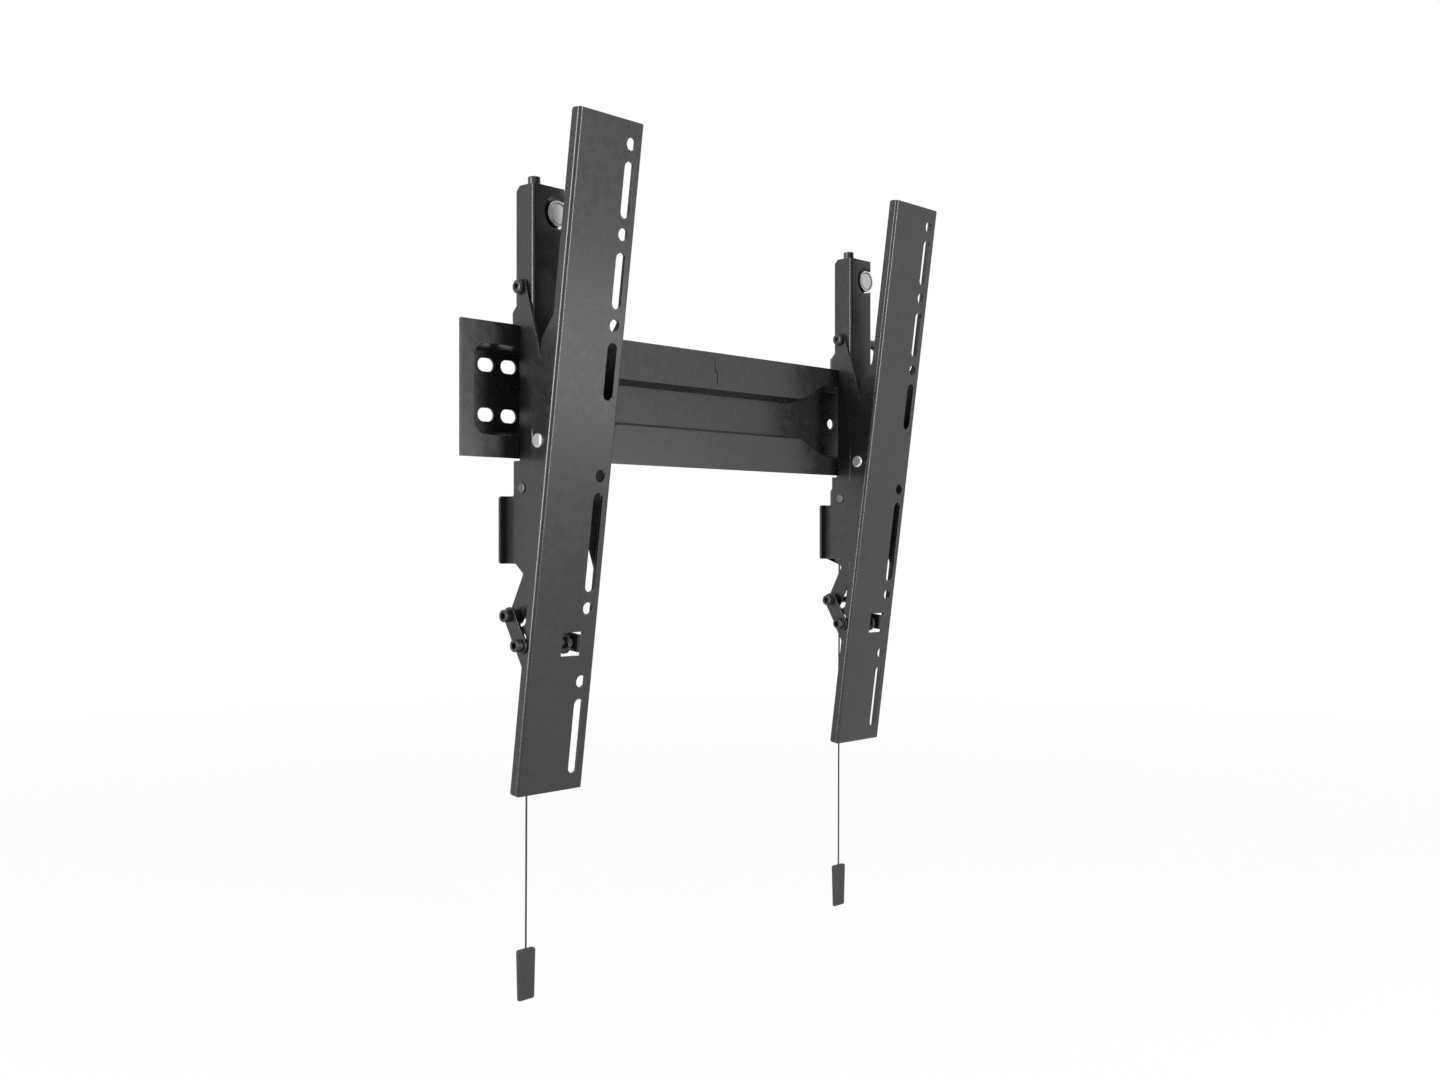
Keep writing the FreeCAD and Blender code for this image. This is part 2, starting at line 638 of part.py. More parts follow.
def carriage_profile():
    """Side profile of the carriage, as (y, z) corners and radii."""
    throat_y = -PLATE_DEPTH - PLATE_FRONT_GAP
    throat_z = HALF_HEIGHT + HEIGHT_TRAVEL + EDGE_GAP
    lobe = PIVOT_LOBE_R
    outline = [
        (CARRIAGE_FRONT_Y, CARRIAGE_TOP_Z, 0),
        (CARRIAGE_REAR_Y - CARRIAGE_TOP_CHAMFER, CARRIAGE_TOP_Z, 0),
        (CARRIAGE_REAR_Y, CARRIAGE_TOP_Z - CARRIAGE_TOP_CHAMFER, 0),
        (CARRIAGE_REAR_Y, SHOULDER_TOP_Z + (SHOULDER_REAR_Y - CARRIAGE_REAR_Y), CARRIAGE_EDGE_R),
        (SHOULDER_REAR_Y, SHOULDER_TOP_Z, CARRIAGE_EDGE_R),
        (SHOULDER_REAR_Y, throat_z, THROAT_R),
        (throat_y, throat_z, 0),
        (throat_y, -throat_z, 0),
        (LEG_REAR_Y, -throat_z, LEG_TOP_R),
        (LEG_REAR_Y, FOOT_TAB_TOP_Z, LEG_ROOT_R),
        (-WALL_CLEARANCE, FOOT_TAB_TOP_Z, CARRIAGE_EDGE_R),
        (-WALL_CLEARANCE, FOOT_TAB_LOW_Z, CARRIAGE_EDGE_R),
        (KNEE_Y, FOOT_TAB_LOW_Z, 0),
        (NOTCH_Y, NOTCH_Z, NOTCH_R),
        (GUIDE_TOP_Y + lobe * LOBE_REAR[0], GUIDE_TOP_Z + lobe * LOBE_REAR[1], LOBE_ROOT_R),
        (GUIDE_TOP_Y + lobe, GUIDE_TOP_Z, 0),
        (GUIDE_TOP_Y + lobe * LOBE_FRONT[0], GUIDE_TOP_Z + lobe * LOBE_FRONT[1], 0),
        (CARRIAGE_FRONT_Y, WEB_LOW_Z, WEB_CORNER_R),
    ]
    return [(y, z) for y, z, r in outline], [r for y, z, r in outline]


def foot_tab(side):
    """The flange bent outward that rests against the wall."""
    if side < 0:
        x0, x1 = CARRIAGE_LEFT_X - FOOT_TAB_REACH, CARRIAGE_INNER_LEFT_X
    else:
        x0, x1 = CARRIAGE_INNER_RIGHT_X, CARRIAGE_RIGHT_X + FOOT_TAB_REACH
    tab = box(x0, x1, -WALL_CLEARANCE - CARRIAGE_SHEET, -WALL_CLEARANCE, FOOT_TAB_LOW_Z, FOOT_TAB_TOP_Z)
    outer_x = x0 if side < 0 else x1
    return tab.makeFillet(FOOT_TAB_CORNER_R, edges_along(tab, AXIS_Y, lambda p: abs(p.x - outer_x) < NEAR))


def carriage():
    outline, radii = carriage_profile()
    blank = prism_x(outline, radii, CARRIAGE_LEFT_X, CARRIAGE_RIGHT_X)
    lobe = rod_x(CARRIAGE_LEFT_X, CARRIAGE_RIGHT_X, GUIDE_TOP_Y, GUIDE_TOP_Z, 2 * PIVOT_LOBE_R)
    blank = blank.fuse(lobe).removeSplitter()
    lowest = GUIDE_TOP_Z - 2 * PIVOT_LOBE_R
    envelope = box(CARRIAGE_LEFT_X, CARRIAGE_RIGHT_X, CARRIAGE_FRONT_Y, CUT_PAST, lowest, CARRIAGE_TOP_Z)
    front_edges = edges_along(envelope, AXIS_Z, lambda p: p.y < CARRIAGE_FRONT_Y + NEAR)
    blank = blank.common(envelope.makeFillet(CARRIAGE_BEND_R, front_edges))
    inside = (CARRIAGE_INNER_LEFT_X, CARRIAGE_INNER_RIGHT_X)
    hollow = box(*inside, CARRIAGE_WEB_BACK_Y, CUT_PAST, lowest, CARRIAGE_TOP_Z - CARRIAGE_SHEET)
    below_web = box(*inside, CARRIAGE_FRONT_Y - CUT_PAST, CUT_PAST, lowest, WEB_LOW_Z)
    shell = blank.cut([hollow, below_web])
    seat = box(
        CARRIAGE_INNER_LEFT_X - CUT_PAST,
        CARRIAGE_INNER_RIGHT_X + CUT_PAST,
        -2 * SPRING_D,
        LATCH_REAR_Y,
        SPRING_SEAT_Z - CARRIAGE_SHEET,
        SPRING_SEAT_Z,
    )
    shell = shell.fuse([seat, foot_tab(-1), foot_tab(1)]).removeSplitter()
    beyond = CARRIAGE_RIGHT_X + CUT_THROUGH
    before = CARRIAGE_LEFT_X - CUT_THROUGH
    cup_back = MAGNET_CUP_FRONT_Y + MAGNET_CUP_H + MAGNET_CUT_MARGIN
    cut_x = MAGNET_X - MAGNET_CUT_OFFSET
    tab_low = CARRIAGE_TOP_Z - CARRIAGE_SHEET - CUT_THROUGH
    seat_low = SPRING_SEAT_Z - CARRIAGE_SHEET - CUT_THROUGH
    bolt_hole = PIVOT_BOLT_D + 2 * PIVOT_PLAY
    cuts = [
        rod_x(before, beyond, STRUT_TOP_Y, STRUT_TOP_Z, bolt_hole),
        rod_x(before, beyond, GUIDE_TOP_Y, GUIDE_TOP_Z, bolt_hole),
        rod_x(before, beyond, LATCH_PIN_Y, LATCH_PIN_Z, LATCH_PIN_D + THREAD_PLAY),
        rod_y(cut_x, CARRIAGE_FRONT_Y - CUT_THROUGH, cup_back, MAGNET_Z, MAGNET_CUT_D),
        rod_z(SCREW_X, SCREW_Y, tab_low, CARRIAGE_TOP_Z + CUT_THROUGH, SCREW_D + 2 * SCREW_PLAY),
        rod_z(CORD_X, CORD_Y, seat_low, SPRING_SEAT_Z + CUT_THROUGH, SEAT_HOLE_D),
    ]
    return shell.cut(cuts)


def hook_block():
    """The slider that hangs on the top edge of the wall plate."""
    front_y = CARRIAGE_WEB_BACK_Y + HOOK_SIDE_GAP
    seat_z = HALF_HEIGHT + EDGE_GAP
    groove_front_y = -PLATE_DEPTH - EDGE_GAP
    groove_back_y = PLATE_BACK_OF_FLANGE_Y + EDGE_GAP
    outline = [
        (front_y, HOOK_FRONT_LIP_Z, HOOK_EDGE_R),
        (groove_front_y, HOOK_FRONT_LIP_Z, HOOK_EDGE_R),
        (groove_front_y, seat_z, HOOK_GROOVE_R),
        (groove_back_y, seat_z, HOOK_GROOVE_R),
        (groove_back_y, HOOK_REAR_LIP_Z, HOOK_EDGE_R),
        (HOOK_REAR_Y - HOOK_LIP_LEAD, HOOK_REAR_LIP_Z, HOOK_EDGE_R),
        (HOOK_REAR_Y, seat_z, HOOK_BACK_R),
        (HOOK_REAR_Y, HOOK_TOP_Z - HOOK_TOP_CHAMFER, HOOK_BACK_R),
        (HOOK_REAR_Y - HOOK_TOP_CHAMFER, HOOK_TOP_Z, HOOK_BACK_R),
        (front_y, HOOK_TOP_Z, HOOK_EDGE_R),
    ]
    x0 = CARRIAGE_INNER_LEFT_X + HOOK_SIDE_GAP
    x1 = CARRIAGE_INNER_RIGHT_X - HOOK_SIDE_GAP
    block = prism_x([(y, z) for y, z, r in outline], [r for y, z, r in outline], x0, x1)
    low = HOOK_FRONT_LIP_Z - CUT_THROUGH
    return block.cut(rod_z(SCREW_X, SCREW_Y, low, HOOK_TOP_Z + CUT_THROUGH, SCREW_D + 2 * SCREW_PLAY))


def round_edges(shape, keep):
    """The full circles among a turned shape's edges whose middle passes the test."""
    return [edge for edge in shape.Edges if len(edge.Vertexes) == 1 and keep(edge.CenterOfMass)]


def height_screw():
    """The screw in the top tab that raises and lowers the carriage."""
    head_top = CARRIAGE_TOP_Z + SCREW_HEAD_H
    shank = rod_z(SCREW_X, SCREW_Y, SCREW_LOW_Z, CARRIAGE_TOP_Z + CUT_PAST, SCREW_D)
    shank = shank.makeChamfer(SCREW_TIP_CHAMFER, round_edges(shank, lambda p: p.z < SCREW_LOW_Z + NEAR))
    head = rod_z(SCREW_X, SCREW_Y, CARRIAGE_TOP_Z + SCREW_SEAT_GAP, head_top, SCREW_HEAD_D)
    head = head.makeFillet(SCREW_HEAD_R, round_edges(head, lambda p: p.z > head_top - NEAR))
    floor_z = head_top - SCREW_SOCKET_DEPTH
    socket = hex_prism_z(SCREW_X, SCREW_Y, floor_z, head_top + CUT_PAST, HEX_SOCKET_AF)
    return shank.fuse(head).removeSplitter().cut(socket)


def magnet_bracket():
    """The jogged strip that holds the cord magnet behind the cut-out."""
    x0, x1 = MAGNET_BRACKET_X
    sheet = MAGNET_BRACKET_SHEET
    rear_y = MAGNET_CUP_FRONT_Y + MAGNET_CUP_H
    front_y = CARRIAGE_WEB_BACK_Y
    jog = MAGNET_BRACKET_JOG_Z
    outline = [
        (front_y, MAGNET_BRACKET_LOW_Z),
        (front_y + sheet, MAGNET_BRACKET_LOW_Z),
        (front_y + sheet, jog),
        (rear_y + sheet, jog),
        (rear_y + sheet, MAGNET_BRACKET_HIGH_Z),
        (rear_y, MAGNET_BRACKET_HIGH_Z),
        (rear_y, jog + sheet),
        (front_y, jog + sheet),
    ]
    bends = [0, 0, MAGNET_INNER_BEND_R, MAGNET_OUTER_BEND_R]
    return prism_x(outline, bends + bends, x0, x1)


def magnet_cup():
    cup = rod_y(MAGNET_X, MAGNET_CUP_FRONT_Y, MAGNET_CUP_FRONT_Y + MAGNET_CUP_H, MAGNET_Z, MAGNET_CUP_D)
    cup = cup.makeFillet(MAGNET_CUP_EDGE_R, round_edges(cup, lambda p: True))
    well_d = MAGNET_CUP_D - 2 * MAGNET_CUP_WALL
    floor_y = MAGNET_CUP_FRONT_Y + MAGNET_CUP_H - MAGNET_CUP_WALL
    return cup.cut(rod_y(MAGNET_X, MAGNET_CUP_FRONT_Y - CUT_THROUGH, floor_y, MAGNET_Z, well_d))


def magnet_disc():
    disc_d = MAGNET_CUP_D - 2 * MAGNET_CUP_WALL - 2 * MAGNET_RING_GAP
    floor_y = MAGNET_CUP_FRONT_Y + MAGNET_CUP_H - MAGNET_CUP_WALL
    front_y = MAGNET_CUP_FRONT_Y + MAGNET_DISC_SETBACK
    disc = rod_y(MAGNET_X, front_y, floor_y, MAGNET_Z, disc_d)
    return disc.makeChamfer(MAGNET_DISC_CHAMFER, round_edges(disc, lambda p: p.y < front_y + NEAR))


def bolt_x(head_x, tail_x, point, head_d, head_h, button):
    """A socket screw along X, with its head on the left."""
    y, z = point
    head_left = head_x - head_h
    head = rod_x(head_left, head_x, y, z, head_d)
    rounding = head_h * BUTTON_ROUNDING if button else CAP_HEAD_R
    head = head.makeFillet(rounding, round_edges(head, lambda p: p.x < head_left + NEAR))
    shank = rod_x(head_x - CUT_PAST, tail_x, y, z, PIVOT_BOLT_D)
    shank = shank.makeChamfer(BOLT_TIP_CHAMFER, round_edges(shank, lambda p: p.x > tail_x - NEAR))
    socket_floor = head_left + SOCKET_DEPTH_SHARE * head_h
    socket_af = BUTTON_SOCKET_AF if button else HEX_SOCKET_AF
    socket = hex_prism_x(head_left - CUT_THROUGH, socket_floor, y, z, socket_af)
    return head.fuse(shank).removeSplitter().cut(socket)


def nut_x(x0, point, height):
    """A hexagon nut along X, bevelled on its right face."""
    y, z = point
    nut = hex_prism_x(x0, x0 + height, y, z, NUT_AF)
    tip_r = NUT_AF / 2 + NUT_BEVEL_LAND
    run = NUT_BEVEL_SHARE * height
    bevel = Part.makeCone(tip_r, tip_r + run, run, Vector(x0 + height, y, z), -AXIS_X)
    nut = nut.common(bevel)
    return nut.cut(rod_x(x0 - CUT_THROUGH, x0 + height + CUT_THROUGH, y, z, PIVOT_BOLT_D + THREAD_PLAY))


def spacer_x(x0, x1, point):
    y, z = point
    bore = PIVOT_BOLT_D + 2 * PIVOT_PLAY
    tube = rod_x(x0, x1, y, z, bore + 2 * SPACER_WALL)
    return tube.cut(rod_x(x0 - CUT_THROUGH, x1 + CUT_THROUGH, y, z, bore))


def strut_spacer():
    return spacer_x(CARRIAGE_RIGHT_X + SPACER_FACE_GAP, STRUT_X["inner"][0] - SPACER_FACE_GAP, STRUT_TOP)


def guide_spacers():
    left = spacer_x(GUIDE_X["outer"][1] + SPACER_FACE_GAP, CARRIAGE_LEFT_X - SPACER_FACE_GAP, GUIDE_TOP)
    right = spacer_x(CARRIAGE_RIGHT_X + SPACER_FACE_GAP, GUIDE_X["inner"][0] - SPACER_FACE_GAP, GUIDE_TOP)
    return Part.Compound([left, right])


def slide_spacer():
    return spacer_x(ARM_SHEET + SIDE_GAP, GUIDE_X["inner"][0] - SPACER_FACE_GAP, SLIDE)


def strut_rivets():
    """One low-headed rivet through each flange of the arm and its strut."""
    rivets = []
    y, z = STRUT_FOOT
    for side, face_x in ((-1, 0.0), (1, ARM_WIDTH)):
        link = STRUT_X["outer"] if side < 0 else STRUT_X["inner"]
        link_end = link[1] if side < 0 else link[0]
        low, high = sorted((face_x, link_end))
        shank = rod_x(low, high, y, z, RIVET_D)
        top_x = face_x + side * RIVET_HEAD_H
        head = rod_x(min(face_x, top_x), max(face_x, top_x), y, z, RIVET_HEAD_D)
        head = head.makeFillet(RIVET_RIM_R, round_edges(head, lambda p: abs(p.x - top_x) < NEAR))
        rivets.append(shank.fuse(head).removeSplitter())
    return Part.Compound(rivets)


def latch():
    """The spring latch that hooks behind the plate's bottom edge."""
    nose_front = PLATE_BACK_OF_FLANGE_Y + EDGE_GAP
    nose_back = nose_front + LATCH_NOSE_DEPTH
    outline = [
        (LATCH_FRONT_Y, LATCH_LOW_Z, LATCH_EDGE_R),
        (LATCH_REAR_Y, LATCH_LOW_Z, LATCH_EDGE_R),
        (LATCH_REAR_Y, LATCH_SHOULDER_Z - LATCH_BACK_DROP, LATCH_BACK_R),
        (nose_back, LATCH_SHOULDER_Z, LATCH_EDGE_R),
        (nose_back, LATCH_NOSE_Z, LATCH_NOSE_BACK_R),
        (nose_front + LATCH_NOSE_CHAMFER[0], LATCH_NOSE_Z, LATCH_NOSE_R),
        (nose_front, LATCH_NOSE_Z - LATCH_NOSE_CHAMFER[1], LATCH_NOSE_R),
        (nose_front, LATCH_SHOULDER_Z, LATCH_ROOT_R),
        (LATCH_FRONT_Y, LATCH_SHOULDER_Z, LATCH_FRONT_R),
    ]
    x0, x1 = LATCH_X
    body = prism_x([(y, z) for y, z, r in outline], [r for y, z, r in outline], x0, x1)
    slot = strip_x(
        (LATCH_PIN_Y, LATCH_PIN_Z - LATCH_SLOT_END),
        (LATCH_PIN_Y, LATCH_PIN_Z + LATCH_TRAVEL + LATCH_SLOT_END),
        LATCH_PIN_D / 2 + LATCH_SLOT_PLAY,
        x0 - CUT_THROUGH,
        x1 + CUT_THROUGH,
    )
    return body.cut(slot)


def latch_pin():
    x0 = CARRIAGE_LEFT_X - LATCH_PIN_PROUD
    x1 = CARRIAGE_RIGHT_X + LATCH_PIN_PROUD
    pin = rod_x(x0, x1, LATCH_PIN_Y, LATCH_PIN_Z, LATCH_PIN_D)
    pin = pin.makeChamfer(LATCH_PIN_CHAMFER, round_edges(pin, lambda p: p.x > x1 - NEAR))
    head = rod_x(x0, CARRIAGE_LEFT_X, LATCH_PIN_Y, LATCH_PIN_Z, LATCH_PIN_HEAD_D)
    head = head.makeFillet(LATCH_PIN_HEAD_R, round_edges(head, lambda p: p.x < x0 + NEAR))
    return pin.fuse(head).removeSplitter()


def latch_spring():
    """The coil spring under the latch, round the release cord."""
    length = LATCH_LOW_Z - SPRING_SEAT_Z
    rise = length - SPRING_END_LOSS * SPRING_WIRE_D
    mean_r = (SPRING_D - SPRING_WIRE_D) / 2
    helix = Part.makeHelix(rise / SPRING_TURNS, rise, mean_r)
    ring = Part.Wire(Part.makeCircle(SPRING_WIRE_D / 2, Vector(mean_r, 0, 0), AXIS_Y))
    coil = Part.Wire(helix.Edges).makePipeShell([ring], True, True)
    coil.translate(Vector(CORD_X, CORD_Y, SPRING_SEAT_Z + SPRING_END_LIFT * SPRING_WIRE_D))
    return coil


# The cord hangs free from the latch to the top of its handle
CORD_ROUTE = (
    Vector(CORD_X, CORD_Y, LATCH_LOW_Z),
    Vector(CORD_X, CORD_Y + CORD_SWAY, (LATCH_LOW_Z + HANDLE_TOP_Z) / 2),
    Vector(HANDLE_X, CORD_Y, HANDLE_TOP_Z),
)


def release_cord():
    """A tube on straight runs joined by tangent arcs."""
    edges = []
    start = CORD_ROUTE[0]
    for i in range(1, len(CORD_ROUTE) - 1):
        corner = CORD_ROUTE[i]
        back = CORD_ROUTE[i - 1] - corner
        ahead = CORD_ROUTE[i + 1] - corner
        reach = CORD_ARC_SHARE * min(back.Length, ahead.Length)
        back.normalize()
        ahead.normalize()
        half_angle = back.getAngle(ahead) / 2
        radius = reach * math.tan(half_angle)
        bisector = (back + ahead).normalize()
        middle = corner + bisector * (radius / math.sin(half_angle) - radius)
        arc_start = corner + back * reach
        arc_end = corner + ahead * reach
        edges.append(Part.LineSegment(start, arc_start).toShape())
        edges.append(Part.Arc(arc_start, middle, arc_end).toShape())
        start = arc_end
        print("cord arc radius", round(radius, 1))
    edges.append(Part.LineSegment(start, CORD_ROUTE[-1]).toShape())
    path = Part.Wire(edges)
    ring = Part.Wire(Part.makeCircle(CORD_D / 2, CORD_ROUTE[0], CORD_ROUTE[1] - CORD_ROUTE[0]))
    tube = path.makePipeShell([ring], True, True)
    plain_volume = path.Length * math.pi * CORD_D ** 2 / 4
    print("cord length", round(path.Length, 1), "volume ratio", round(tube.Volume / plain_volume, 4))
    return tube


def pull_handle():
    """The flat grip at the end of the cord, a little narrower and thinner at its foot."""
    top = HANDLE_TOP_Z
    low = HANDLE_TOP_Z - HANDLE_LENGTH
    half_top = HANDLE_TOP_WIDTH / 2
    half_low = HANDLE_LOW_WIDTH / 2
    front_view = [
        (HANDLE_X - half_low, low),
        (HANDLE_X + half_low, low),
        (HANDLE_X + half_top, top),
        (HANDLE_X - half_top, top),
    ]
    thick_top = HANDLE_TOP_THICKNESS / 2
    thick_low = HANDLE_LOW_THICKNESS / 2
    side_view = [
        (CORD_Y - thick_low, low),
        (CORD_Y + thick_low, low),
        (CORD_Y + thick_top, top),
        (CORD_Y - thick_top, top),
    ]
    wide = HANDLE_TOP_WIDTH
    deep = HANDLE_TOP_THICKNESS
    slab = prism_x(side_view, [0] * 4, HANDLE_X - wide, HANDLE_X + wide)
    shape = prism_y(front_view, [HANDLE_CORNER_R] * 4, CORD_Y - deep, CORD_Y + deep)
    grip = slab.common(shape)
    rim = []
    for face in grip.Faces:
        if abs(face.normalAt(0, 0).y) > GRIP_FACE_TURN:
            rim += face.Edges
    return grip.makeFillet(HANDLE_EDGE_R, rim)


def bracket_pieces():
    """Every piece of one bracket, by name, with its left outer face at X zero."""
    strut_nut_x = STRUT_X["inner"][1] + SPACER_FACE_GAP
    thin_nut_x = CARRIAGE_INNER_LEFT_X + SPACER_FACE_GAP
    guide_nut_x = GUIDE_X["inner"][1] + SPACER_FACE_GAP
    return {
        "carriage": carriage(),
        "hook_block": hook_block(),
        "height_screw": height_screw(),
        "magnet_bracket": magnet_bracket(),
        "magnet_cup": magnet_cup(),
        "magnet_disc": magnet_disc(),
        "outer_strut": strut("outer"),
        "inner_strut": strut("inner"),
        "outer_strut_bolt": bolt_x(
            STRUT_X["outer"][0], thin_nut_x + THIN_NUT_H + THIN_NUT_TAIL, STRUT_TOP,
            BUTTON_HEAD_D, BUTTON_HEAD_H, button=True,
        ),
        "outer_strut_nut": nut_x(thin_nut_x, STRUT_TOP, THIN_NUT_H),
        "inner_strut_bolt": bolt_x(
            CARRIAGE_INNER_RIGHT_X, strut_nut_x + NUT_H + BOLT_TAIL, STRUT_TOP,
            BUTTON_HEAD_D, BUTTON_HEAD_H, button=True,
        ),
        "inner_strut_nut": nut_x(strut_nut_x, STRUT_TOP, NUT_H),
        "strut_spacer": strut_spacer(),
        "strut_rivets": strut_rivets(),
        "screen_arm": screen_arm(),
        "outer_guide_link": guide_link("outer"),
        "inner_guide_link": guide_link("inner"),
        "guide_bolt": bolt_x(
            GUIDE_X["outer"][0], guide_nut_x + NUT_H + BOLT_TAIL, GUIDE_TOP,
            CAP_HEAD_D, CAP_HEAD_H, button=False,
        ),
        "guide_nut": nut_x(guide_nut_x, GUIDE_TOP, NUT_H),
        "guide_spacers": guide_spacers(),
        "slide_bolt": bolt_x(
            GUIDE_X["outer"][0], TAB_LEFT_X - SLIDE_BOLT_GAP, SLIDE,
            CAP_HEAD_D, CAP_HEAD_H, button=False,
        ),
        "slide_nut": nut_x(guide_nut_x, SLIDE, NUT_H),
        "slide_spacer": slide_spacer(),
        "latch": latch(),
        "latch_pin": latch_pin(),
        "latch_spring": latch_spring(),
        "release_cord": release_cord(),
        "pull_handle": pull_handle(),
    }


def main():
    os.makedirs("parts", exist_ok=True)
    wall_plate().exportStep("parts/wall_plate.step")
    pieces = bracket_pieces()
    for side, x in BRACKET_X.items():
        for name, piece in pieces.items():
            placed = piece.copy()
            placed.translate(Vector(x, 0, 0))
            placed.exportStep("parts/" + side + "_" + name + ".step")


main()
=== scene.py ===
"""The looks of a tilting tv wall mount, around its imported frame. Lengths are in metres."""

import json
import math

import bmesh
import bpy
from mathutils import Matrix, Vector


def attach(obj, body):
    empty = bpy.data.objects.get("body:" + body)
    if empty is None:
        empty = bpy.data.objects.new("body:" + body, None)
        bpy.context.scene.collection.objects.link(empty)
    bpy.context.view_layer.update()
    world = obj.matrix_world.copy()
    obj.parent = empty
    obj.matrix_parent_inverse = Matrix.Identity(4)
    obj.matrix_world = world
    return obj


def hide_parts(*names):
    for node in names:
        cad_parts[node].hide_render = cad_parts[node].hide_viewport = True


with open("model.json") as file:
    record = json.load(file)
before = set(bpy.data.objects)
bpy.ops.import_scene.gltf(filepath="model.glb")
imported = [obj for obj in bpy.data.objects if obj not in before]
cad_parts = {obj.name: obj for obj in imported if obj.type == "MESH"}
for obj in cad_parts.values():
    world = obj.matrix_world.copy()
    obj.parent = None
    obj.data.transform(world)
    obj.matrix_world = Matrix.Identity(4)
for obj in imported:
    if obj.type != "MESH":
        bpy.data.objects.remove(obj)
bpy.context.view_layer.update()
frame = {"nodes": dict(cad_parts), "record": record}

SIDES = ("left", "right")

# Camera, as solved from the photograph's frame of 1440 by 1080
CAMERA_PLACE = (-0.7895, -0.7335, -0.0942)
CAMERA_TURN_DEG = -47.85
CAMERA_LENS = 36.6
CAMERA_SENSOR = 36.0
CAMERA_CLIP_START = 0.01

# Release cord, from the latch to the pull handle, measured from the bracket's left face
BRACKET_X = {"left": -0.1895, "right": 0.1411}
CORD_ROUTE = (
    (0.0185, -0.0055, -0.0920),
    (0.0185, -0.0050, -0.2251),
    (0.0172, -0.0055, -0.3582),
)
CORD_D = 0.0013
CORD_STEPS = 24
CORD_ROUNDNESS = 4

# Powder coat: its clouds, mottling and rubbed streaks, and its orange peel's hills and their height
COAT_CLOUD_SIZE = 0.030
COAT_MOTTLE_SIZE = 0.0060
STREAK_SIZE = 0.0012
STREAK_STRETCH = (1.0, 1.0, 0.06)
PEEL_SIZE = 0.0020
PEEL_DEPTH = 0.000006

# Bare metal's stains, moulded plastic's clouds and its coarse and fine grain, and the cord's weave
STAIN_SIZE = 0.004
PLASTIC_CLOUD_SIZE = 0.010
PLASTIC_GRAIN_DEPTH = 0.00005
FINE_GRAIN_SIZE = 0.0003
FINE_GRAIN_DEPTH = 0.00002
WEAVE_SCALE = 420.0
WEAVE_WOBBLE = 1.5
WEAVE_DEPTH = 0.00015

# How blue the greys are, as the blue channel's share of the others
COOLNESS = 1.03

# Points closer than WELD are one, faces flatter than FLAT_ANGLE are joined before the edges
# sharper than SHARP_ANGLE are eased, and large faces lead the shading by FACE_WEIGHT
WELD = 8e-6
FLAT_ANGLE = math.radians(0.2)
SHARP_ANGLE = math.radians(32)
FACE_WEIGHT = 80

# How much the edges of each kind of piece are eased, and in how many steps
EDGE_WIDTH = {
    "powder_coat": 0.00022,
    "black_oxide": 0.00018,
    "rivet_zinc": 0.00010,
    "nickel": 0.00012,
    "hook_steel": 0.00035,
    "latch_nylon": 0.00040,
    "handle_rubber": 0.00015,
}
NUT_EDGE_WIDTH = 0.00006
EDGE_SEGMENTS = 2

# Pieces whose CAD form is already round everywhere
PLAIN_KINDS = ("latch_spring",)

# Paper floor: its place and tone, and its glow near the object and from PAPER_FADE on
FLOOR_Z = -0.46
FLOOR_SIZE = 12.0
PAPER_TONE = (0.92, 0.92, 0.92)
PAPER_GLOW = (0.93, 1.0)
PAPER_FADE = (0.9, 2.6)

# Even fill, and each lamp's name, bearing from +X and climb in degrees, distance, width, height
# and brightness
FILL = 0.38
LAMP_TARGET = Vector((-0.10, -0.04, -0.04))
LAMPS = (
    ("face_box", -50, -2, 1.25, 0.32, 0.24, 3.4),
    ("front_strip", -76, 3, 1.7, 0.34, 1.2, 22.0),
    ("left_strip", 169, -7, 1.8, 0.50, 2.0, 24.0),
    ("top_box", -100, 65, 1.9, 1.2, 1.2, 1.5),
)

# The colour mix node's factor, two colours and result, by their places among its sockets
MIX_FACTOR = 0
MIX_COLOURS = (6, 7)
MIX_RESULT = 2


def camera():
    data = bpy.data.cameras.new("camera")
    data.lens = CAMERA_LENS
    data.sensor_width = CAMERA_SENSOR
    data.clip_start = CAMERA_CLIP_START
    view = bpy.data.objects.new("camera", data)
    view.location = CAMERA_PLACE
    view.rotation_euler = (math.radians(90), 0, math.radians(CAMERA_TURN_DEG))
    bpy.context.scene.collection.objects.link(view)
    bpy.context.scene.camera = view


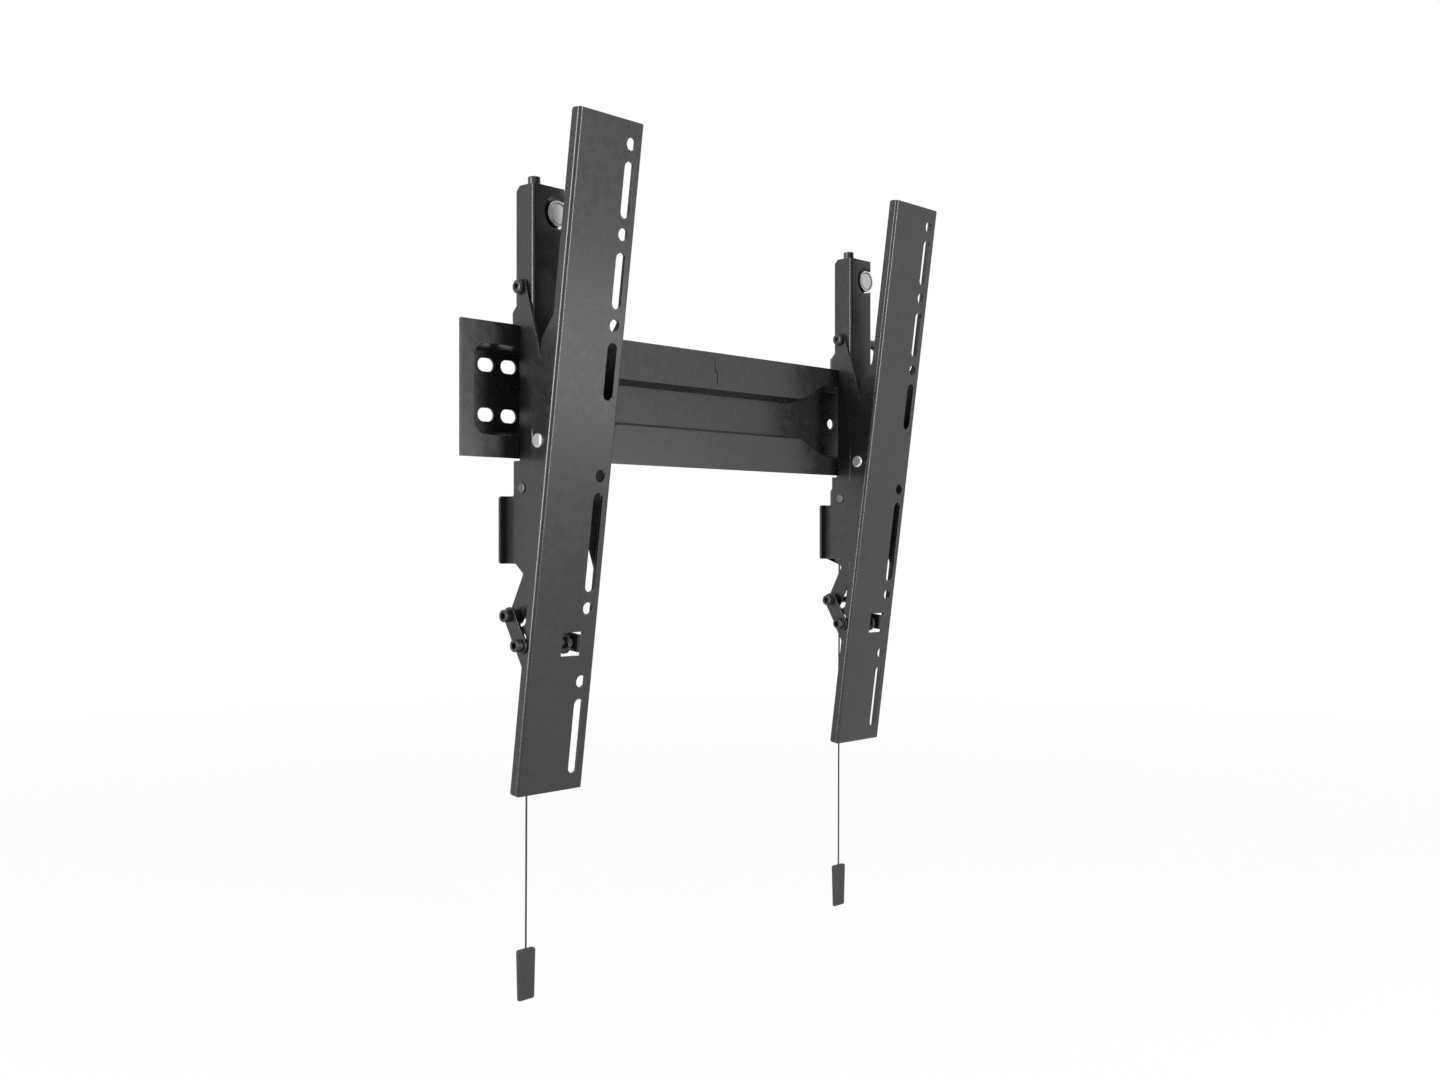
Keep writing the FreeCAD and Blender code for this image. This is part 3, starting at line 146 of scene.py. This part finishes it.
class Surface:
    """A material's node tree, with the few nodes that the finishes here share."""

    def __init__(self, name, rough, metallic=0.0, **constants):
        self.material = bpy.data.materials.new(name)
        self.material.use_nodes = True
        self.nodes = self.material.node_tree.nodes
        self.links = self.material.node_tree.links
        self.shader = self.nodes["Principled BSDF"]
        self.shader.inputs["Roughness"].default_value = rough
        self.shader.inputs["Metallic"].default_value = metallic
        for socket, value in constants.items():
            self.shader.inputs[socket.replace("_", " ")].default_value = value
        self.coordinates = self.nodes.new("ShaderNodeTexCoord").outputs["Object"]

    def stretch(self, scale):
        """The object's coordinates, stretched along its axes."""
        mapping = self.nodes.new("ShaderNodeMapping")
        mapping.inputs["Scale"].default_value = scale
        self.links.new(self.coordinates, mapping.inputs["Vector"])
        return mapping.outputs["Vector"]

    def noise(self, size, detail=2.0, rough=0.5, vector=None):
        """Noise whose blobs are about size metres across."""
        node = self.nodes.new("ShaderNodeTexNoise")
        node.inputs["Scale"].default_value = 1.0 / size
        node.inputs["Detail"].default_value = detail
        node.inputs["Roughness"].default_value = rough
        self.links.new(vector or self.coordinates, node.inputs["Vector"])
        return node.outputs["Fac"]

    def cells(self, size):
        """Distance from the middle of cells that are about size metres across."""
        node = self.nodes.new("ShaderNodeTexVoronoi")
        node.inputs["Scale"].default_value = 1.0 / size
        self.links.new(self.coordinates, node.inputs["Vector"])
        return node.outputs["Distance"]

    def spread(self, factor, low, high, start=0.3, end=0.7):
        """Maps a factor from start..end onto low..high."""
        node = self.nodes.new("ShaderNodeMapRange")
        node.inputs["From Min"].default_value = start
        node.inputs["From Max"].default_value = end
        node.inputs["To Min"].default_value = low
        node.inputs["To Max"].default_value = high
        self.links.new(factor, node.inputs["Value"])
        return node.outputs["Result"]

    def mix(self, factor, *colours):
        """Goes from the first colour to the second; each is a tuple or a socket."""
        node = self.nodes.new("ShaderNodeMix")
        node.data_type = "RGBA"
        for place, colour in zip(MIX_COLOURS, colours):
            if isinstance(colour, tuple):
                node.inputs[place].default_value = (*colour, 1.0)
            else:
                self.links.new(colour, node.inputs[place])
        self.links.new(factor, node.inputs[MIX_FACTOR])
        return node.outputs[MIX_RESULT]

    def colour(self, socket):
        self.links.new(socket, self.shader.inputs["Base Color"])

    def roughness(self, socket):
        self.links.new(socket, self.shader.inputs["Roughness"])

    def bump(self, layers):
        """Layers of (height socket, depth in metres), one over the other."""
        last = None
        for height, depth in layers:
            node = self.nodes.new("ShaderNodeBump")
            node.inputs["Distance"].default_value = depth
            self.links.new(height, node.inputs["Height"])
            if last is not None:
                self.links.new(last, node.inputs["Normal"])
            last = node.outputs["Normal"]
        self.links.new(last, self.shader.inputs["Normal"])


def grey(level):
    return (level, level, level * COOLNESS)


def powder_coat(name, level, rough):
    """Fine satin powder coat: a faint orange peel, mottled tone and a few rubbed streaks."""
    surface = Surface(name, rough, **{"Specular_IOR_Level": 0.50})
    clouds = surface.noise(COAT_CLOUD_SIZE, detail=3.0, rough=0.55)
    mottle = surface.noise(COAT_MOTTLE_SIZE)
    streaks = surface.noise(STREAK_SIZE, vector=surface.stretch(STREAK_STRETCH))
    light_patch = surface.spread(mottle, 0, 0.25, start=0.45, end=0.75)
    rubbed = surface.spread(streaks, 0, 0.22, start=0.62, end=0.80)
    tone = surface.mix(surface.spread(clouds, 0, 1), grey(level * 0.88), grey(level * 1.10))
    tone = surface.mix(light_patch, tone, grey(level * 1.25))
    surface.colour(surface.mix(rubbed, tone, grey(level * 1.7)))
    surface.roughness(surface.spread(mottle, rough - 0.03, rough + 0.04))
    peel = surface.noise(PEEL_SIZE, detail=1.0, rough=0.4)
    surface.bump([(peel, PEEL_DEPTH)])
    return surface.material


def metal(name, colour, rough, grain, depth, metallic=1.0, tarnish=0.72):
    """A worked metal with a fine grain and slight tarnish."""
    surface = Surface(name, rough, metallic)
    stain = surface.noise(STAIN_SIZE, detail=3.0, rough=0.6)
    fine = surface.noise(grain, rough=0.6)
    darker = tuple(channel * tarnish for channel in colour)
    surface.colour(surface.mix(surface.spread(stain, 0, 1), darker, colour))
    surface.roughness(surface.spread(fine, rough * 0.8, rough * 1.3))
    surface.bump([(fine, depth)])
    return surface.material


def plastic(name, level, rough, size):
    """A moulded plastic or rubber with a fine leathery grain."""
    surface = Surface(name, rough, **{"Specular_IOR_Level": 0.35})
    clouds = surface.noise(PLASTIC_CLOUD_SIZE)
    grain = surface.cells(size)
    surface.colour(surface.mix(surface.spread(clouds, 0, 1), grey(level * 0.85), grey(level * 1.15)))
    surface.roughness(surface.spread(grain, rough - 0.06, rough + 0.08, start=0.1, end=0.6))
    surface.bump([(grain, PLASTIC_GRAIN_DEPTH), (surface.noise(FINE_GRAIN_SIZE), FINE_GRAIN_DEPTH)])
    return surface.material


def braid(name):
    """The weave of a thin braided cord."""
    surface = Surface(name, 0.75)
    wave = surface.nodes.new("ShaderNodeTexWave")
    wave.bands_direction = "DIAGONAL"
    wave.inputs["Scale"].default_value = WEAVE_SCALE
    wave.inputs["Distortion"].default_value = WEAVE_WOBBLE
    surface.links.new(surface.coordinates, wave.inputs["Vector"])
    weave = wave.outputs["Fac"]
    surface.colour(surface.mix(weave, grey(0.010), grey(0.035)))
    surface.bump([(weave, WEAVE_DEPTH)])
    return surface.material


def finishes():
    """Each slot's main material and the one on its rounded edges, and the latch pin's own pair. The
    powder coat's edge material is a lighter copy of the coat: a painted highlight along its eased edges.
    """
    coat = powder_coat("coat", level=0.010, rough=0.28)
    # A lighter copy of the coat for the rounded edges: a painted highlight along every eased edge
    coat_painted_highlight = powder_coat("coat_painted_highlight", level=0.018, rough=0.25)
    oxide = metal("oxide", (0.040, 0.040, 0.042), rough=0.30, grain=0.0004, depth=0.00001, metallic=0.6)
    zinc = metal(
        "zinc", (0.52, 0.52, 0.525), rough=0.24, grain=0.0003, depth=0.000002, metallic=0.6, tarnish=0.88
    )
    pin = metal("pin", (0.13, 0.13, 0.135), rough=0.30, grain=0.0003, depth=0.000004)
    nickel = metal("nickel", (0.52, 0.52, 0.52), rough=0.22, grain=0.0005, depth=0.000001, tarnish=0.93)
    steel = metal("steel", (0.10, 0.10, 0.105), rough=0.38, grain=0.0004, depth=0.00002, metallic=0.8)
    nylon = plastic("nylon", level=0.030, rough=0.48, size=0.0007)
    wire = metal("wire", (0.46, 0.46, 0.47), rough=0.26, grain=0.0002, depth=0.00001)
    cord = braid("cord")
    rubber = plastic("rubber", level=0.020, rough=0.46, size=0.0005)
    return {
        "powder_coat": (coat, coat_painted_highlight),
        "black_oxide": (oxide, oxide),
        "rivet_zinc": (zinc, zinc),
        "nickel": (nickel, nickel),
        "hook_steel": (steel, steel),
        "latch_nylon": (nylon, nylon),
        "spring_steel": (wire, wire),
        "cord_black": (cord, cord),
        "handle_rubber": (rubber, rubber),
        "latch_pin": (pin, pin),
    }


def put_finish(piece, slot, looks, kind=None):
    """Gives a piece its slot's look, or the look of its own kind where there is one."""
    piece.data.materials.clear()
    for look in looks.get(kind, looks[slot]):
        piece.data.materials.append(look)


def release_cord(side, looks):
    """A bracket's cord along its route, and the point where it leaves the latch."""
    curve = bpy.data.curves.new(side + "_pull_cord", "CURVE")
    curve.dimensions = "3D"
    curve.resolution_u = CORD_STEPS
    curve.bevel_depth = CORD_D / 2
    curve.bevel_resolution = CORD_ROUNDNESS
    curve.use_fill_caps = True
    spline = curve.splines.new("NURBS")
    spline.points.add(len(CORD_ROUTE) - 1)
    shift = Vector((BRACKET_X[side], 0, 0))
    route = [shift + Vector(point) for point in CORD_ROUTE]
    for point, place in zip(spline.points, route):
        point.co = (*place, 1.0)
    spline.order_u = 3
    spline.use_endpoint_u = True
    piece = bpy.data.objects.new(curve.name, curve)
    bpy.context.scene.collection.objects.link(piece)
    curve.materials.append(looks["cord_black"][0])
    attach(piece, side + "_latch")
    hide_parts(side + "_release_cord")
    return piece, route[0]


def body_of(node):
    for body, members in frame["record"]["behaviour"]["bodies"].items():
        if node in members:
            return body
    return None


def kind_of(node):
    """A node's name without its side."""
    return node.split("_", 1)[1]


def rounded_copy(node, slot, width, looks):
    """A copy of a CAD node with its sharp edges eased, which stands for the node."""
    source = frame["nodes"][node]
    mesh = bpy.data.meshes.new(node + "_finished")
    work = bmesh.new()
    work.from_mesh(source.data)
    bmesh.ops.remove_doubles(work, verts=work.verts, dist=WELD)
    bmesh.ops.dissolve_limit(work, angle_limit=FLAT_ANGLE, verts=work.verts, edges=work.edges)
    for face in work.faces:
        face.smooth = True
        face.material_index = 0
    work.to_mesh(mesh)
    work.free()
    piece = bpy.data.objects.new(node + "_finished", mesh)
    bpy.context.scene.collection.objects.link(piece)
    put_finish(piece, slot, looks, kind_of(node))
    bevel = piece.modifiers.new("ease", "BEVEL")
    bevel.width = width
    bevel.segments = EDGE_SEGMENTS
    bevel.limit_method = "ANGLE"
    bevel.angle_limit = SHARP_ANGLE
    bevel.use_clamp_overlap = False
    bevel.loop_slide = False
    # The eased edges take the slot's second material, which on the powder coat is a lighter painted
    # highlight
    bevel.material = 1
    bevel.miter_outer = "MITER_ARC"
    shade = piece.modifiers.new("shade", "WEIGHTED_NORMAL")
    shade.keep_sharp = True
    shade.weight = FACE_WEIGHT
    apply_modifiers(piece)
    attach(piece, body_of(node))
    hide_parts(node)
    return piece


def apply_modifiers(piece):
    bpy.context.view_layer.update()
    evaluated = piece.evaluated_get(bpy.context.evaluated_depsgraph_get())
    mesh = bpy.data.meshes.new_from_object(evaluated)
    piece.modifiers.clear()
    old = piece.data
    piece.data = mesh
    mesh.name = piece.name
    bpy.data.meshes.remove(old)


def dress_nodes(looks):
    """Every node but the cords in its finish: a piece for each node's name."""
    done = {}
    for part in frame["record"]["subparts"]:
        node = part["node"]
        slot = part["material_slot"]
        kind = kind_of(node)
        if slot == "cord_black":
            continue
        if kind in PLAIN_KINDS:
            put_finish(frame["nodes"][node], slot, looks)
            done[node] = frame["nodes"][node]
            continue
        width = NUT_EDGE_WIDTH if kind.endswith("_nut") else EDGE_WIDTH[slot]
        done[node] = rounded_copy(node, slot, width, looks)
    return done


def white_to_the_eye(nodes, links):
    """One for a ray from the camera, off a glossy face or through glass, else nought."""
    path = nodes.new("ShaderNodeLightPath")
    last = path.outputs["Is Camera Ray"]
    for name in ("Is Glossy Ray", "Is Transmission Ray"):
        either = nodes.new("ShaderNodeMath")
        either.operation = "MAXIMUM"
        links.new(last, either.inputs[0])
        links.new(path.outputs[name], either.inputs[1])
        last = either.outputs[0]
    return last


def glow_by_distance(nodes, links):
    """How much the paper glows: less near the object, for its shadow, and fully far away."""
    place = nodes.new("ShaderNodeTexCoord")
    length = nodes.new("ShaderNodeVectorMath")
    length.operation = "LENGTH"
    links.new(place.outputs["Object"], length.inputs[0])
    fade = nodes.new("ShaderNodeMapRange")
    fade.inputs["From Min"].default_value, fade.inputs["From Max"].default_value = PAPER_FADE
    fade.inputs["To Min"].default_value, fade.inputs["To Max"].default_value = PAPER_GLOW
    links.new(length.outputs["Value"], fade.inputs["Value"])
    return fade.outputs["Result"]


def floor():
    """A white paper floor that keeps a soft shadow."""
    mesh = bpy.data.meshes.new("floor")
    half = FLOOR_SIZE / 2
    corners = [(-half, -half), (half, -half), (half, half), (-half, half)]
    mesh.from_pydata([(x, y, FLOOR_Z) for x, y in corners], [], [(0, 1, 2, 3)])
    ground = bpy.data.objects.new("floor", mesh)
    bpy.context.scene.collection.objects.link(ground)
    material = bpy.data.materials.new("floor_paper")
    material.use_nodes = True
    nodes = material.node_tree.nodes
    links = material.node_tree.links
    nodes.clear()
    output = nodes.new("ShaderNodeOutputMaterial")
    paper = nodes.new("ShaderNodeBsdfDiffuse")
    paper.inputs["Color"].default_value = (*PAPER_TONE, 1)
    glow = nodes.new("ShaderNodeEmission")
    glow.inputs["Color"].default_value = (1, 1, 1, 1)
    glow.inputs["Strength"].default_value = 1.0
    share = nodes.new("ShaderNodeMath")
    share.operation = "MULTIPLY"
    links.new(glow_by_distance(nodes, links), share.inputs[1])
    links.new(white_to_the_eye(nodes, links), share.inputs[0])
    mix = nodes.new("ShaderNodeMixShader")
    links.new(share.outputs[0], mix.inputs[0])
    links.new(paper.outputs[0], mix.inputs[1])
    links.new(glow.outputs[0], mix.inputs[2])
    links.new(mix.outputs[0], output.inputs["Surface"])
    mesh.materials.append(material)


def backdrop():
    """White to the camera and in reflections, and a plain even fill for the object."""
    world = bpy.data.worlds.new("studio")
    bpy.context.scene.world = world
    world.use_nodes = True
    nodes = world.node_tree.nodes
    links = world.node_tree.links
    nodes.clear()
    output = nodes.new("ShaderNodeOutputWorld")
    mix = nodes.new("ShaderNodeMixShader")
    links.new(white_to_the_eye(nodes, links), mix.inputs[0])
    for place, strength in ((1, FILL), (2, 1.0)):
        light = nodes.new("ShaderNodeBackground")
        light.inputs["Color"].default_value = (1, 1, 1, 1)
        light.inputs["Strength"].default_value = strength
        links.new(light.outputs[0], mix.inputs[place])
    links.new(mix.outputs[0], output.inputs["Surface"])


def softbox(name, bearing, climb, distance, width, height, glow):
    """A soft lamp that faces the object, whose power keeps its glow whatever its size."""
    data = bpy.data.lights.new(name, "AREA")
    data.shape = "RECTANGLE"
    data.size = width
    data.size_y = height
    data.energy = glow * math.pi * width * height
    lamp = bpy.data.objects.new(name, data)
    turn = math.radians(bearing)
    rise = math.radians(climb)
    way = Vector((math.cos(rise) * math.cos(turn), math.cos(rise) * math.sin(turn), math.sin(rise)))
    lamp.location = LAMP_TARGET + way * distance
    lamp.rotation_euler = (-way).to_track_quat("-Z", "Y").to_euler()
    lamp.visible_camera = False
    bpy.context.scene.collection.objects.link(lamp)


camera()
LOOKS = finishes()
cords = {side: release_cord(side, LOOKS) for side in SIDES}
pieces = dress_nodes(LOOKS)
floor()
backdrop()
for lamp in LAMPS:
    softbox(*lamp)
bpy.context.scene.view_settings.view_transform = "Standard"
